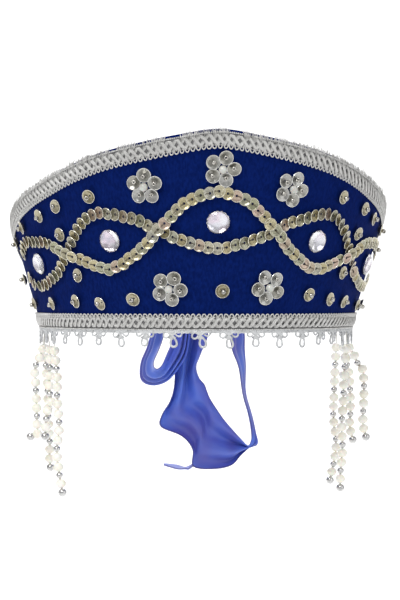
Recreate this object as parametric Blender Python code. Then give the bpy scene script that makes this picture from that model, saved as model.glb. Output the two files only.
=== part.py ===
"""Kokoshnik headdress: a flared, cloth-covered band with a raised front, tied at the back with ribbon.

Metres, +Z up. The wearer faces -Y. The origin is the centre of the head opening, level with the hem.
Places on the band are given as a turn, in degrees from the front with + to the +X side, and a rise,
the distance from the hem up the flared wall.
"""

from math import ceil, cos, pi, radians, sin, sqrt, tan

import bmesh
import bpy
from mathutils import Matrix, Vector

MM = 0.001

# Gap between a piece and what it lies on
SEAT_GAP = 0.3 * MM

# Crown: the hem is an ellipse round the head, and the wall leans out evenly
HEM_HALF_WIDTH = 81.5 * MM
HEM_HALF_DEPTH = 98 * MM
FLARE = radians(16)
WALL = 3 * MM
FRONT_RISE = 97 * MM
BAND_END_TURN = 118
COLUMN_TURN = 6

# Braid along the rim and the hem
BRAID_WIDTH = 8 * MM
BRAID_THICKNESS = 1.2 * MM
RIM_MARGIN = 0.6 * MM

# Lace under the hem, one trefoil a repeat
LACE_REPEAT = 13.6 * MM
LACE_DROP = 8.4 * MM
LACE_THICKNESS = 0.8 * MM

# Strings of overlapping sequins
STRING_SEQUIN_RADIUS = 3 * MM
STRING_SEQUIN_PITCH = 4.3 * MM
STRING_LOW = 0.6 * MM
STRING_HIGH = 1.3 * MM
CROSSING_LIFT = 1.6 * MM
CROSSING_REACH = 11 * MM
CROSSING_RAMP = 5.5 * MM
CROSSING_TURNS = (16.0, 47.6)

# Stones, flowers and single sequins
STONE_RADIUS = 5.5 * MM
STONE_GIRDLE = 1.2 * MM
STONE_HEIGHT = 3.2 * MM
STONE_SIDES = 10
SEQUIN_RADIUS = 3.4 * MM
SEQUIN_THICKNESS = 0.9 * MM
SEQUIN_DISH = 0.5 * MM
SEQUIN_SIDES = 8
PETAL_COUNT = 5
POINTS_PER_PETAL = 4
PETAL_RING = 5.4 * MM
FLOWER_PEARL_RADIUS = 2 * MM

# Strands of pearls and silver beads
BEAD_SIDES = 10
PEARL_RADIUS = 2.6 * MM
SILVER_RADIUS = 1.8 * MM
END_BALL_RADIUS = 2.2 * MM
BEAD_NECK_RADIUS = 0.9 * MM
BEAD_PITCH = 4.55 * MM
STRAND_THREAD = 8.5 * MM

# Satin ribbon
RIBBON_WIDTH = 40 * MM
RIBBON_THICKNESS = 1 * MM

# Smoothness: steps between two rows of a table and along the hem, and the sharpest angle shaded smooth
WAVE_STEPS = 12
STRAND_STEPS = 8
HEM_STEPS = 360
SMOOTH_ANGLE = radians(40)

# Rim, as shares of FRONT_RISE: turn, rise. The first row levels the curve at the front
RIM = (
    (-10, 0.973),
    (0, 1.0),
    (10, 0.973),
    (20, 0.937),
    (30, 0.898),
    (40, 0.846),
    (50, 0.788),
    (60, 0.735),
    (70, 0.68),
    (80, 0.62),
    (90, 0.55),
    (100, 0.46),
    (110, 0.365),
    (118, 0.29),
)

# One repeat of the lace, as shares of LACE_REPEAT from its middle and of LACE_DROP: across, drop
LACE_LOWER_EDGE = (
    (-0.5, 0.16),
    (-0.27, 0.16),
    (-0.29, 0.36),
    (-0.12, 0.53),
    (-0.13, 0.80),
    (0.0, 1.0),
    (0.13, 0.80),
    (0.12, 0.53),
    (0.29, 0.36),
    (0.27, 0.16),
)
LACE_GAP = (
    (0.0, 0.56),
    (0.07, 0.74),
    (0.0, 0.88),
    (-0.07, 0.74),
)
LACE_TOP_EDGE = (-0.5, 0.0)

# Middle line of each sequin string on the +X side, as shares of FRONT_RISE: turn, rise
WAVE_A = (
    (0, 0.698),
    (5, 0.677),
    (9, 0.638),
    (13.5, 0.560),
    (17.5, 0.487),
    (21.5, 0.416),
    (26.8, 0.353),
    (31.5, 0.323),
    (36, 0.329),
    (42.8, 0.371),
    (50.5, 0.431),
    (56, 0.461),
    (62, 0.472),
    (68.4, 0.472),
    (72.5, 0.455),
    (76, 0.415),
    (77.8, 0.366),
)
WAVE_B = (
    (0, 0.420),
    (5.5, 0.437),
    (11, 0.466),
    (15.2, 0.504),
    (19.9, 0.546),
    (24.9, 0.577),
    (30.5, 0.598),
    (36, 0.590),
    (41.3, 0.523),
    (45.5, 0.443),
    (49.9, 0.371),
    (52.3, 0.322),
    (55.8, 0.286),
    (60.3, 0.256),
    (66.7, 0.232),
    (73, 0.250),
    (77, 0.292),
    (78, 0.320),
)

# Stones: name, turn, rise as a share of FRONT_RISE
STONES = (
    ("centre", 0, 0.548),
    ("left", -31, 0.461),
    ("right", 31, 0.461),
    ("far_left", -63.6, 0.353),
    ("far_right", 63.6, 0.353),
)

# Stone above its girdle, as shares of STONE_RADIUS and of the height left to its table, and the half
# steps by which a section is turned: across, up, half steps
STONE_CROWN = (
    (1.0, 0.0, 0),
    (0.82, 0.6, 1),
    (0.58, 1.0, 0),
)

# Pearl of a flower above the petals, as shares of FLOWER_PEARL_RADIUS: across, up
FLOWER_PEARL_PROFILE = (
    (1.1, 0.0),
    (1.0, 0.7),
    (0.0, 1.6),
)

# Flowers: name, turn, rise as a share of FRONT_RISE, spin of the petals in degrees
FLOWERS = (
    ("top", 0.4, 0.809, -16),
    ("upper_left", -18.8, 0.722, 0),
    ("upper_right", 19.4, 0.722, -24),
    ("lower_left", -14.4, 0.221, -25),
    ("lower_right", 16.6, 0.229, -42),
)

# Single sequins: turn, rise as a share of FRONT_RISE
SINGLE_SEQUINS = (
    (1.8, 0.205),
    (-35.3, 0.688),
    (37.4, 0.692),
    (-47.8, 0.645),
    (49.4, 0.642),
    (-56.3, 0.604),
    (57.4, 0.597),
    (-69.2, 0.552),
    (71, 0.546),
    (-82, 0.475),
    (82, 0.445),
    (-48.5, 0.502),
    (49.1, 0.513),
    (-44.7, 0.287),
    (45.7, 0.305),
    (-90, 0.275),
    (-26, 0.166),
    (31.8, 0.190),
    (-37.9, 0.144),
    (42.2, 0.164),
    (-48.1, 0.154),
    (51.5, 0.154),
    (-61.5, 0.143),
    (66, 0.135),
    (-79, 0.142),
    (80, 0.135),
)

# Strands: name, turn at the hem, beads
STRANDS = (
    ("left_1", -71, 17),
    ("left_2", -80, 11),
    ("left_3", -88, 12),
    ("left_4", -97, 15),
    ("right_1", 78, 17),
    ("right_2", 86, 12),
    ("right_3", 93, 12),
    ("right_4", 100, 17),
)

# Route of each strand, as shares of its length: drop, outward lean
STRAND_ROUTES = {
    "left_1": ((0, 0), (0.14, -0.007), (0.26, -0.019), (0.42, -0.022), (0.57, -0.033),
               (0.72, -0.019), (0.87, -0.037), (0.98, -0.056)),
    "left_2": ((0, 0), (0.22, -0.027), (0.51, -0.017), (0.61, -0.036), (0.71, 0),
               (0.80, 0.009), (0.95, 0.019)),
    "left_3": ((0, 0), (0.19, 0.017), (0.28, 0.054), (0.35, 0.084), (0.49, 0.076),
               (0.79, 0.065), (0.925, 0.070), (0.917, 0.152)),
    "left_4": ((0, 0), (0.16, 0.005), (0.39, -0.013), (0.63, -0.021), (0.81, -0.031),
               (0.86, -0.026), (0.98, -0.039)),
    "right_1": ((0, 0), (0.14, -0.008), (0.26, -0.020), (0.42, -0.026), (0.57, -0.036),
                (0.72, -0.031), (0.87, -0.044), (0.98, -0.044)),
    "right_2": ((0, 0), (0.13, 0.010), (0.19, 0.054), (0.28, 0.093), (0.34, 0.136),
                (0.54, 0.143), (0.75, 0.135), (0.89, 0.168)),
    "right_3": ((0, 0), (0.20, 0.017), (0.40, 0.057), (0.68, 0.068), (0.80, 0.060),
                (0.95, 0.095)),
    "right_4": ((0, 0), (0.14, -0.003), (0.42, -0.016), (0.58, -0.020), (0.76, -0.003),
                (0.99, -0.047)),
}

# Knot of the bow, as shares of RIBBON_WIDTH from the back of the hem: its middle across and up, its
# half sizes, and its sections along the width: along, size
KNOT_ACROSS = 0.1
KNOT_UP = 0.3
KNOT_HALF_WIDTH = 0.2
KNOT_HALF_DEPTH = 0.175
KNOT_HALF_HEIGHT = 0.2
KNOT_SECTIONS = (
    (-1.0, 0.7),
    (-0.6, 1.0),
    (0.6, 1.0),
    (1.0, 0.7),
)
KNOT_SIDES = 10

# Ties, on the +X side: turn, middle rise and half height as shares of RIBBON_WIDTH, and how many
# times further in than the band's inner face the ribbon lies. The last row is at the knot, wherever it
# is, which is found in small steps of turn
TIE_AT_KNOT = 180
TIE_TURN_STEP = 0.1
TIES = (
    (107, 0.34, 0.24, 1.0),
    (118, 0.34, 0.26, 1.0),
    (126, 0.34, 0.30, 1.0),
    (138, 0.33, 0.33, 1.05),
    (150, 0.32, 0.32, 1.15),
    (160, 0.31, 0.27, 1.25),
    (168, 0.30, 0.20, 1.4),
    (TIE_AT_KNOT, 0.30, 0.13, 1.5),
)

# Bow, as shares of RIBBON_WIDTH from the back of the hem: the ribbon's two edges, across, back and up
BOW_LOOP_RIGHT = (
    (0.31, 0.04, 0.20, 0.31, 0.12, 0.40),
    (0.50, 0.05, 0.28, 0.60, 0.40, 0.45),
    (0.68, 0.05, 0.08, 0.95, 0.70, 0.20),
    (0.73, 0.05, -0.12, 1.05, 0.82, -0.12),
    (0.78, 0.06, -0.38, 1.06, 0.86, -0.39),
    (0.88, 0.10, -0.64, 1.08, 0.88, -0.65),
    (0.94, 0.13, -1.01, 1.08, 0.88, -1.05),
    (1.04, 0.18, -1.34, 1.15, 0.76, -1.38),
    (1.09, 0.23, -1.61, 1.18, 0.54, -1.63),
    (1.07, 0.25, -1.75, 1.20, 0.42, -1.79),
    (1.02, 0.20, -1.79, 1.06, 0.26, -1.83),
    (0.91, 0.18, -1.68, 0.92, 0.20, -1.94),
    (0.78, 0.15, -1.54, 0.78, 0.18, -2.08),
    (0.66, 0.13, -1.40, 0.52, 0.15, -2.13),
    (0.57, 0.13, -1.27, 0.21, 0.13, -2.09),
    (0.49, 0.13, -1.15, 0.20, 0.13, -1.84),
    (0.44, 0.13, -1.06, 0.04, 0.13, -1.64),
    (0.41, 0.13, -0.98, -0.27, 0.13, -1.50),
    (0.37, 0.12, -0.88, -0.25, 0.13, -1.32),
    (0.29, 0.11, -0.78, -0.13, 0.13, -1.12),
    (0.25, 0.10, -0.62, -0.07, 0.12, -0.88),
    (0.31, 0.09, -0.44, -0.07, 0.11, -0.53),
    (0.42, 0.07, -0.12, -0.12, 0.09, -0.12),
    (0.25, 0.05, 0.085, -0.05, 0.05, 0.085),
)
BOW_LOOP_LEFT = (
    (-0.115, 0.04, 0.22, -0.115, 0.12, 0.38),
    (-0.20, 0.05, 0.02, -0.30, 0.35, 0.12),
    (-0.24, 0.05, -0.18, -0.34, 0.60, -0.18),
    (-0.30, 0.03, -0.35, -0.42, 0.66, -0.38),
    (-0.38, 0.00, -0.53, -0.51, 0.70, -0.60),
    (-0.38, -0.04, -0.62, -0.51, 0.66, -0.83),
    (-0.33, -0.08, -0.64, -0.37, 0.52, -0.89),
    (-0.27, -0.12, -0.58, -0.17, 0.20, -0.81),
    (-0.21, -0.17, -0.43, -0.02, -0.12, -0.62),
    (-0.13, -0.17, -0.23, 0.10, -0.16, -0.38),
    (-0.04, -0.125, 0.145, 0.15, -0.125, 0.10),
)
RIBBON_TAIL = (
    (-0.03, 0.165, 0.19, 0.23, 0.165, 0.19),
    (-0.01, 0.25, -0.30, 0.26, 0.25, -0.30),
    (-0.05, 0.30, -0.70, 0.26, 0.30, -0.70),
    (0.06, 0.32, -1.21, 0.43, 0.32, -1.21),
    (0.28, 0.32, -1.73, 0.67, 0.32, -1.73),
    (0.26, 0.28, -1.99, 0.45, 0.70, -2.03),
    (0.15, 0.12, -2.11, 0.24, 0.88, -2.15),
    (0.08, 0.06, -2.11, 0.15, 0.90, -2.18),
    (-0.04, 0.04, -2.11, 0.03, 0.90, -2.14),
    (-0.23, 0.03, -2.05, -0.17, 0.90, -2.12),
)


# Places on the flared wall

def wall_point(turn, rise, out=0.0):
    """Point at a turn and a rise, and a distance out from the wall's outer face."""
    angle = radians(turn)
    level = Vector((sin(angle) / HEM_HALF_WIDTH, -cos(angle) / HEM_HALF_DEPTH, 0)).normalized()
    hem = Vector((HEM_HALF_WIDTH * sin(angle), -HEM_HALF_DEPTH * cos(angle), 0))
    lean = level * (rise * sin(FLARE) + out * cos(FLARE))
    height = rise * cos(FLARE) - out * sin(FLARE)
    return hem + lean + Vector((0, 0, height))


def degree_length(turn, rise):
    """Distance along the wall for one degree of turn."""
    return (wall_point(turn + 0.5, rise) - wall_point(turn - 0.5, rise)).length


def step_on_wall(turn, rise, along, up):
    """Turn and rise of a place that lies some distance along and up the wall from another."""
    return turn + along / degree_length(turn, rise), rise + up


def wall_frame(turn, rise, out):
    """Placement whose X runs along the wall, Y up it and Z straight out of it."""
    along = (wall_point(turn + 0.5, rise) - wall_point(turn - 0.5, rise)).normalized()
    up = (wall_point(turn, rise + MM) - wall_point(turn, rise)).normalized()
    outward = along.cross(up)
    frame = Matrix((along, up, outward)).transposed().to_4x4()
    frame.translation = wall_point(turn, rise, out)
    return frame


def read_table(table, place):
    """Second column of a two-column table at a place in its first, on a smooth curve."""
    last = len(table) - 2
    row = 0
    while row < last and place > table[row + 1][0]:
        row += 1
    before = table[max(row - 1, 0)]
    low, high = table[row], table[row + 1]
    after = table[min(row + 2, last + 1)]
    span = high[0] - low[0]
    share = (place - low[0]) / span
    slope_low = (high[1] - before[1]) / (high[0] - before[0]) * span
    slope_high = (after[1] - low[1]) / (after[0] - low[0]) * span
    bend = share * share * (3 - 2 * share)
    start = share * (1 - share) ** 2 * slope_low
    finish = share * share * (share - 1) * slope_high
    return low[1] + (high[1] - low[1]) * bend + start + finish


def rim_rise(turn):
    return FRONT_RISE * read_table(RIM, abs(turn))


# Curves

def smooth_points(points, steps):
    """Points on a smooth curve through the given ones, with some steps between each pair."""
    smooth = []
    for index in range(len(points) - 1):
        before = points[max(index - 1, 0)]
        low, high = points[index], points[index + 1]
        after = points[min(index + 2, len(points) - 1)]
        for step in range(steps):
            share = step / steps
            square, cube = share * share, share * share * share
            smooth.append(
                0.5 * (2 * low + (high - before) * share
                       + (2 * before - 5 * low + 4 * high - after) * square
                       + (3 * low - before - 3 * high + after) * cube))
    smooth.append(points[-1].copy())
    return smooth


def point_at(points, lengths, distance):
    """Point at a distance along a chain of points, whose running lengths are given."""
    index = 1
    while index < len(points) - 1 and lengths[index] < distance:
        index += 1
    span = lengths[index] - lengths[index - 1]
    share = (distance - lengths[index - 1]) / span
    return points[index - 1].lerp(points[index], share)


def running_lengths(points):
    lengths = [0.0]
    for near, far in zip(points, points[1:]):
        lengths.append(lengths[-1] + (far - near).length)
    return lengths


# Mesh building

def loft(rings, cut=False):
    """Closed body through rings of equally many points. An end ring of one point is a tip.

    A ribbon's faces are cut in two, both broad sides along the same diagonals, so that where the ribbon
    twists its sides still lie a thickness apart.
    """
    mesh = bmesh.new()
    levels = [[mesh.verts.new(point) for point in ring] for ring in rings]
    for low, high in zip(levels, levels[1:]):
        count = max(len(low), len(high))
        for index in range(count):
            following = (index + 1) % count
            corners = [low[index % len(low)], low[following % len(low)],
                       high[following % len(high)], high[index % len(high)]]
            if cut:
                start = index // 2 % 2
                corners = corners[start:] + corners[:start]
                mesh.faces.new(corners[:3])
                mesh.faces.new(corners[2:] + corners[:1])
            else:
                mesh.faces.new(list(dict.fromkeys(corners)))
    for level in (levels[0], levels[-1]):
        if len(level) > 2:
            mesh.faces.new(level)
    bmesh.ops.recalc_face_normals(mesh, faces=mesh.faces)
    return mesh


def circle(radius, height, sides, half_steps=0):
    """Ring of points round Z, turned by a number of half steps."""
    step = 2 * pi / sides
    angles = [(index + half_steps / 2) * step for index in range(sides)]
    return [Vector((radius * cos(angle), radius * sin(angle), height)) for angle in angles]


def make_mesh(name, build):
    mesh = bpy.data.meshes.new(name)
    build.to_mesh(mesh)
    build.free()
    return mesh


def add_object(name, mesh, material, placement=None, smooth=False):
    if smooth:
        mesh.shade_smooth()
        mesh.set_sharp_from_angle(angle=SMOOTH_ANGLE)
    if not mesh.materials:
        mesh.materials.append(material)
    thing = bpy.data.objects.new(name, mesh)
    bpy.context.scene.collection.objects.link(thing)
    if placement is not None:
        thing.matrix_world = placement
    return thing


def make_material(name, colour, roughness, metallic=0.0):
    material = bpy.data.materials.new(name)
    material.use_nodes = True
    shader = material.node_tree.nodes["Principled BSDF"]
    shader.inputs["Base Color"].default_value = (*colour, 1)
    shader.inputs["Roughness"].default_value = roughness
    shader.inputs["Metallic"].default_value = metallic
    return material


# Crown and braids

def band_turns():
    count = ceil(2 * BAND_END_TURN / COLUMN_TURN)
    return [BAND_END_TURN * (2 * index / count - 1) for index in range(count + 1)]


def build_crown(material):
    inner_foot = -WALL * tan(FLARE)
    rings = []
    for turn in band_turns():
        rim = rim_rise(turn)
        rings.append([wall_point(turn, 0), wall_point(turn, rim),
                      wall_point(turn, rim, -WALL), wall_point(turn, inner_foot, -WALL)])
    add_object("crown", make_mesh("crown", loft(rings)), material, smooth=True)


def build_braid(name, lower_edge, material):
    """Flat strip on the wall. lower_edge gives its lower rise at a turn."""
    inner, outer = SEAT_GAP, SEAT_GAP + BRAID_THICKNESS
    rings = []
    for turn in band_turns():
        low = lower_edge(turn)
        high = low + BRAID_WIDTH
        rings.append([wall_point(turn, low, inner), wall_point(turn, high, inner),
                      wall_point(turn, high, outer), wall_point(turn, low, outer)])
    add_object(name, make_mesh(name, loft(rings)), material, smooth=True)


# Lace: a heading under the hem with a trefoil in each repeat

def hem_distance_table():
    """Turn against distance along the hem from one band end to the other."""
    turns = [BAND_END_TURN * (2 * step / HEM_STEPS - 1) for step in range(HEM_STEPS + 1)]
    points = [wall_point(turn, 0) for turn in turns]
    return list(zip(running_lengths(points), turns))


def build_lace(material):
    table = hem_distance_table()
    length = table[-1][0]
    repeats = round(length / LACE_REPEAT)
    repeat = length / repeats
    mesh = bmesh.new()

    def corner(index, across, drop):
        """Vertex of a flat pattern: distance along the hem, and depth below it."""
        return mesh.verts.new(((index + 0.5 + across) * repeat, -drop * LACE_DROP, 0))

    top, bottom = [], []
    for index in range(repeats):
        top += [corner(index, across, 0) for across in LACE_TOP_EDGE]
        bottom += [corner(index, across, drop) for across, drop in LACE_LOWER_EDGE]
        ring = [corner(index, across, drop) for across, drop in LACE_GAP]
        for near, far in zip(ring, ring[1:] + ring[:1]):
            mesh.edges.new((near, far))
    top.append(corner(repeats - 1, 0.5, 0))
    bottom.append(corner(repeats - 1, 0.5, LACE_LOWER_EDGE[0][1]))
    border = top + bottom[::-1]
    for near, far in zip(border, border[1:] + border[:1]):
        mesh.edges.new((near, far))
    bmesh.ops.triangle_fill(mesh, use_beauty=True, edges=mesh.edges[:])
    front = mesh.faces[:]
    back = bmesh.ops.extrude_face_region(mesh, geom=front)
    moved = [item for item in back["geom"] if isinstance(item, bmesh.types.BMVert)]
    bmesh.ops.translate(mesh, verts=moved, vec=(0, 0, LACE_THICKNESS))
    for vertex in mesh.verts:
        along, drop, out = vertex.co
        turn = read_table(table, min(max(along, 0), length))
        place = wall_point(turn, 0, SEAT_GAP)
        level = wall_point(turn, 0, SEAT_GAP + MM) - place
        level.z = 0
        place += level.normalized() * out
        place.z = drop - SEAT_GAP
        vertex.co = place
    bmesh.ops.recalc_face_normals(mesh, faces=mesh.faces)
    add_object("hem_lace", make_mesh("hem_lace", mesh), material)


# Sequin strings

def whole_wave(half):
    """Middle line from the far -X end to the far +X end, as points of turn and rise."""
    mirrored = [(-turn, rise) for turn, rise in reversed(half[1:])]
    return [Vector((turn, rise * FRONT_RISE / MM, 0)) for turn, rise in mirrored + list(half)]


def crossing_lift(point, crossings):
    nearest = min([(point - crossing).length for crossing in crossings], default=CROSSING_REACH)
    share = min(max((CROSSING_REACH - nearest) / CROSSING_RAMP, 0), 1)
    return CROSSING_LIFT * share * share * (3 - 2 * share)


def build_wave(name, half, crossings, material):
    """Flat string with the scalloped edges and stepped top of overlapping discs."""
    line = smooth_points(whole_wave(half), WAVE_STEPS)
    places = [wall_point(place.x, place.y * MM) for place in line]
    lengths = running_lengths(places)
    waist = sqrt(STRING_SEQUIN_RADIUS ** 2 - (STRING_SEQUIN_PITCH / 2) ** 2)
    end_margin = STRING_SEQUIN_RADIUS
    usable = lengths[-1] - 2 * end_margin
    sequins = round(usable / STRING_SEQUIN_PITCH)
    rings = []
    for step in range(2 * sequins + 1):
        distance = end_margin + usable * step / (2 * sequins)
        here = point_at(line, lengths, distance)
        ahead = point_at(line, lengths, distance + MM)
        behind = point_at(line, lengths, distance - MM)
        along = (ahead.x - behind.x) * degree_length(here.x, here.y * MM)
        up = (ahead.y - behind.y) * MM
        reach = sqrt(along * along + up * up)
        wide = step % 2 == 1
        half_width = STRING_SEQUIN_RADIUS if wide else waist
        top = STRING_HIGH if wide else STRING_LOW
        side = (-up / reach * half_width, along / reach * half_width)
        lift = SEAT_GAP + crossing_lift(wall_point(here.x, here.y * MM), crossings)
        left = step_on_wall(here.x, here.y * MM, *side)
        right = step_on_wall(here.x, here.y * MM, -side[0], -side[1])
        rings.append([wall_point(here.x, here.y * MM, lift),
                      wall_point(*right, lift + top), wall_point(*left, lift + top)])
    add_object(name, make_mesh(name, loft(rings)), material)


def wave_crossings():
    places = []
    for turn in CROSSING_TURNS:
        rise = FRONT_RISE * (read_table(WAVE_A, turn) + read_table(WAVE_B, turn)) / 2
        places += [wall_point(turn, rise), wall_point(-turn, rise)]
    return places


# Stones, flowers and single sequins

def stone_mesh():
    """Straight girdle, a turned row of facets and a flat table."""
    rings = [circle(STONE_RADIUS, 0, STONE_SIDES)]
    for across, up, half_steps in STONE_CROWN:
        height = STONE_GIRDLE + up * (STONE_HEIGHT - STONE_GIRDLE)
        rings.append(circle(across * STONE_RADIUS, height, STONE_SIDES, half_steps))
    return make_mesh("stone", loft(rings))


def petal_reach(angle):
    """Distance from a flower's middle to the edge of its petals, at an angle from a petal's axis."""
    inward = PETAL_RING * sin(angle)
    return PETAL_RING * cos(angle) + sqrt(max(SEQUIN_RADIUS ** 2 - inward ** 2, 0))


def flower_mesh():
    """Five round petals and a pearl, fused. One petal points up."""
    points = PETAL_COUNT * POINTS_PER_PETAL
    step = 2 * pi / points
    directions = [Vector((-sin(index * step), cos(index * step), 0)) for index in range(points)]
    edge = []
    for index, direction in enumerate(directions):
        offset = (index % POINTS_PER_PETAL) * step
        offset = min(offset, 2 * pi / PETAL_COUNT - offset)
        edge.append(direction * petal_reach(offset))
    top = Vector((0, 0, SEQUIN_THICKNESS))
    rings = [edge, [point + top for point in edge]]
    for across, up in FLOWER_PEARL_PROFILE:
        middle = top + Vector((0, 0, up * FLOWER_PEARL_RADIUS))
        spread = across * FLOWER_PEARL_RADIUS
        rings.append([middle + direction * spread for direction in directions] if spread else [middle])
    return make_mesh("flower", loft(rings))


def sequin_mesh():
    dish = SEQUIN_THICKNESS - SEQUIN_DISH
    rings = [circle(SEQUIN_RADIUS, 0, SEQUIN_SIDES), circle(SEQUIN_RADIUS, SEQUIN_THICKNESS, SEQUIN_SIDES),
             [Vector((0, 0, dish))]]
    return make_mesh("sequin", loft(rings))


def build_ornaments(stone_material, flower_material, sequin_material):
    mesh = stone_mesh()
    for name, turn, share in STONES:
        add_object("stone_" + name, mesh, stone_material, wall_frame(turn, share * FRONT_RISE, SEAT_GAP))
    mesh = flower_mesh()
    for name, turn, share, spin in FLOWERS:
        placement = wall_frame(turn, share * FRONT_RISE, SEAT_GAP) @ Matrix.Rotation(radians(spin), 4, "Z")
        add_object("flower_" + name, mesh, flower_material, placement)
    mesh = sequin_mesh()
    for number, (turn, share) in enumerate(SINGLE_SEQUINS, 1):
        name = f"sequin_{number:02d}"
        add_object(name, mesh, sequin_material, wall_frame(turn, share * FRONT_RISE, SEAT_GAP))


# Pearl strands

def bead_radius(index, count):
    """Two pearls and a silver bead, over and over, with a pearl and a silver ball at the end."""
    if index == count - 1:
        return END_BALL_RADIUS
    if index == count - 2:
        return PEARL_RADIUS
    return SILVER_RADIUS if index % 3 == 2 else PEARL_RADIUS


def strand_route(turn, bends, length):
    """Smooth route from under the crown's wall, fitted to the strand's length."""
    top = wall_point(turn, -WALL / 2 * tan(FLARE), -WALL / 2)
    top.z = -SEAT_GAP
    outward = 1 if turn > 0 else -1
    route = smooth_points([Vector((outward * lean, 0, -drop)) for drop, lean in bends], STRAND_STEPS)
    size = length / running_lengths(route)[-1]
    return [top + point * size for point in route]


def build_strand(name, turn, count, material):
    length = STRAND_THREAD + BEAD_PITCH * count
    route = strand_route(turn, STRAND_ROUTES[name], length)
    lengths = running_lengths(route)
    stations = [(0.0, BEAD_NECK_RADIUS)]
    for index in range(count):
        start = STRAND_THREAD + index * BEAD_PITCH
        stations.append((start, BEAD_NECK_RADIUS))
        stations.append((start + BEAD_PITCH / 2, bead_radius(index, count)))
    stations.append((length, BEAD_NECK_RADIUS))
    rings = []
    side = Vector((0, 1, 0))
    for distance, radius in stations:
        behind = point_at(route, lengths, distance - MM)
        ahead = point_at(route, lengths, distance + MM)
        across = (ahead - behind).normalized().cross(side)
        middle = point_at(route, lengths, distance)
        rings.append([middle + across * spot.x + side * spot.y for spot in circle(radius, 0, BEAD_SIDES)])
    add_object("pearl_strand_" + name, make_mesh(name, loft(rings)), material, smooth=True)


# Ribbon

def ribbon_rings(edges):
    """Sections of a ribbon from pairs of edge points."""
    middles = [(first + second) / 2 for first, second in edges]
    rings = []
    for index, (first, second) in enumerate(edges):
        ahead = middles[min(index + 1, len(middles) - 1)]
        behind = middles[max(index - 1, 0)]
        half = (ahead - behind).cross(second - first).normalized() * (RIBBON_THICKNESS / 2)
        rings.append([first - half, first + half, second + half, second - half])
    return rings


def build_bow_piece(name, table, material):
    back = Vector((0, HEM_HALF_DEPTH, 0))
    edges = []
    for row in table:
        first = back + Vector(row[:3]) * RIBBON_WIDTH
        second = back + Vector(row[3:]) * RIBBON_WIDTH
        edges.append((first, second))
    add_object(name, make_mesh(name, loft(ribbon_rings(edges), cut=True)), material, smooth=True)


def build_tie(name, side, material):
    """Ribbon from inside the band's end to the knot, round the back of the head."""
    knot_face = (KNOT_ACROSS * side + KNOT_HALF_WIDTH) * RIBBON_WIDTH + SEAT_GAP
    inward = WALL + SEAT_GAP + RIBBON_THICKNESS / 2
    edges = []
    for turn, middle, half, depth in TIES:
        low = (middle - half) * RIBBON_WIDTH
        high = (middle + half) * RIBBON_WIDTH
        out = -inward * depth
        if turn == TIE_AT_KNOT:
            while wall_point(turn, low, out).x < knot_face:
                turn -= TIE_TURN_STEP
        edges.append((wall_point(side * turn, low, out), wall_point(side * turn, high, out)))
    add_object(name, make_mesh(name, loft(ribbon_rings(edges), cut=True)), material, smooth=True)


def build_knot(material):
    middle = Vector((KNOT_ACROSS * RIBBON_WIDTH, HEM_HALF_DEPTH, KNOT_UP * RIBBON_WIDTH))
    rings = []
    for along, size in KNOT_SECTIONS:
        ring = []
        for spot in circle(size, 0, KNOT_SIDES):
            shares = Vector((along * KNOT_HALF_WIDTH, spot.x * KNOT_HALF_DEPTH, spot.y * KNOT_HALF_HEIGHT))
            ring.append(middle + shares * RIBBON_WIDTH)
        rings.append(ring)
    add_object("bow_knot", make_mesh("bow_knot", loft(rings)), material, smooth=True)


def main():
    for thing in list(bpy.data.objects):
        bpy.data.objects.remove(thing)
    crepe = make_material("crepe", (0.004, 0.014, 0.12), 0.8)
    metal_thread = make_material("metal_thread", (0.62, 0.61, 0.58), 0.4, 0.6)
    sequin = make_material("sequin", (0.78, 0.74, 0.64), 0.25, 0.8)
    stone = make_material("stone", (0.85, 0.87, 0.9), 0.05, 0.6)
    pearl = make_material("pearl", (0.9, 0.87, 0.76), 0.25)
    satin = make_material("satin", (0.07, 0.11, 0.5), 0.4)

    build_crown(crepe)
    build_braid("top_braid", lambda turn: rim_rise(turn) - RIM_MARGIN - BRAID_WIDTH, metal_thread)
    build_braid("hem_braid", lambda turn: SEAT_GAP, metal_thread)
    build_lace(metal_thread)
    build_wave("sequin_wave_a", WAVE_A, wave_crossings(), sequin)
    build_wave("sequin_wave_b", WAVE_B, (), sequin)
    build_ornaments(stone, sequin, sequin)
    for name, turn, count in STRANDS:
        build_strand(name, turn, count, pearl)
    build_knot(satin)
    build_tie("tie_left", -1, satin)
    build_tie("tie_right", 1, satin)
    build_bow_piece("bow_loop_right", BOW_LOOP_RIGHT, satin)
    build_bow_piece("bow_loop_left", BOW_LOOP_LEFT, satin)
    build_bow_piece("ribbon_tail", RIBBON_TAIL, satin)


main()
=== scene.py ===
"""Looks of a kokoshnik headdress: cloth, metal-thread braid, lace, sequins, stones, pearls and ribbon.

Metres, +Z up. The wearer faces -Y. Places on the flared band are given as a turn, in degrees from the
front with + to the +X side, and a rise, the distance from the hem up the wall.
"""

import re
from math import cos, pi, radians, sin, tan

import bmesh
import bpy
import numpy as np
from mathutils import Matrix, Vector, noise


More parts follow.
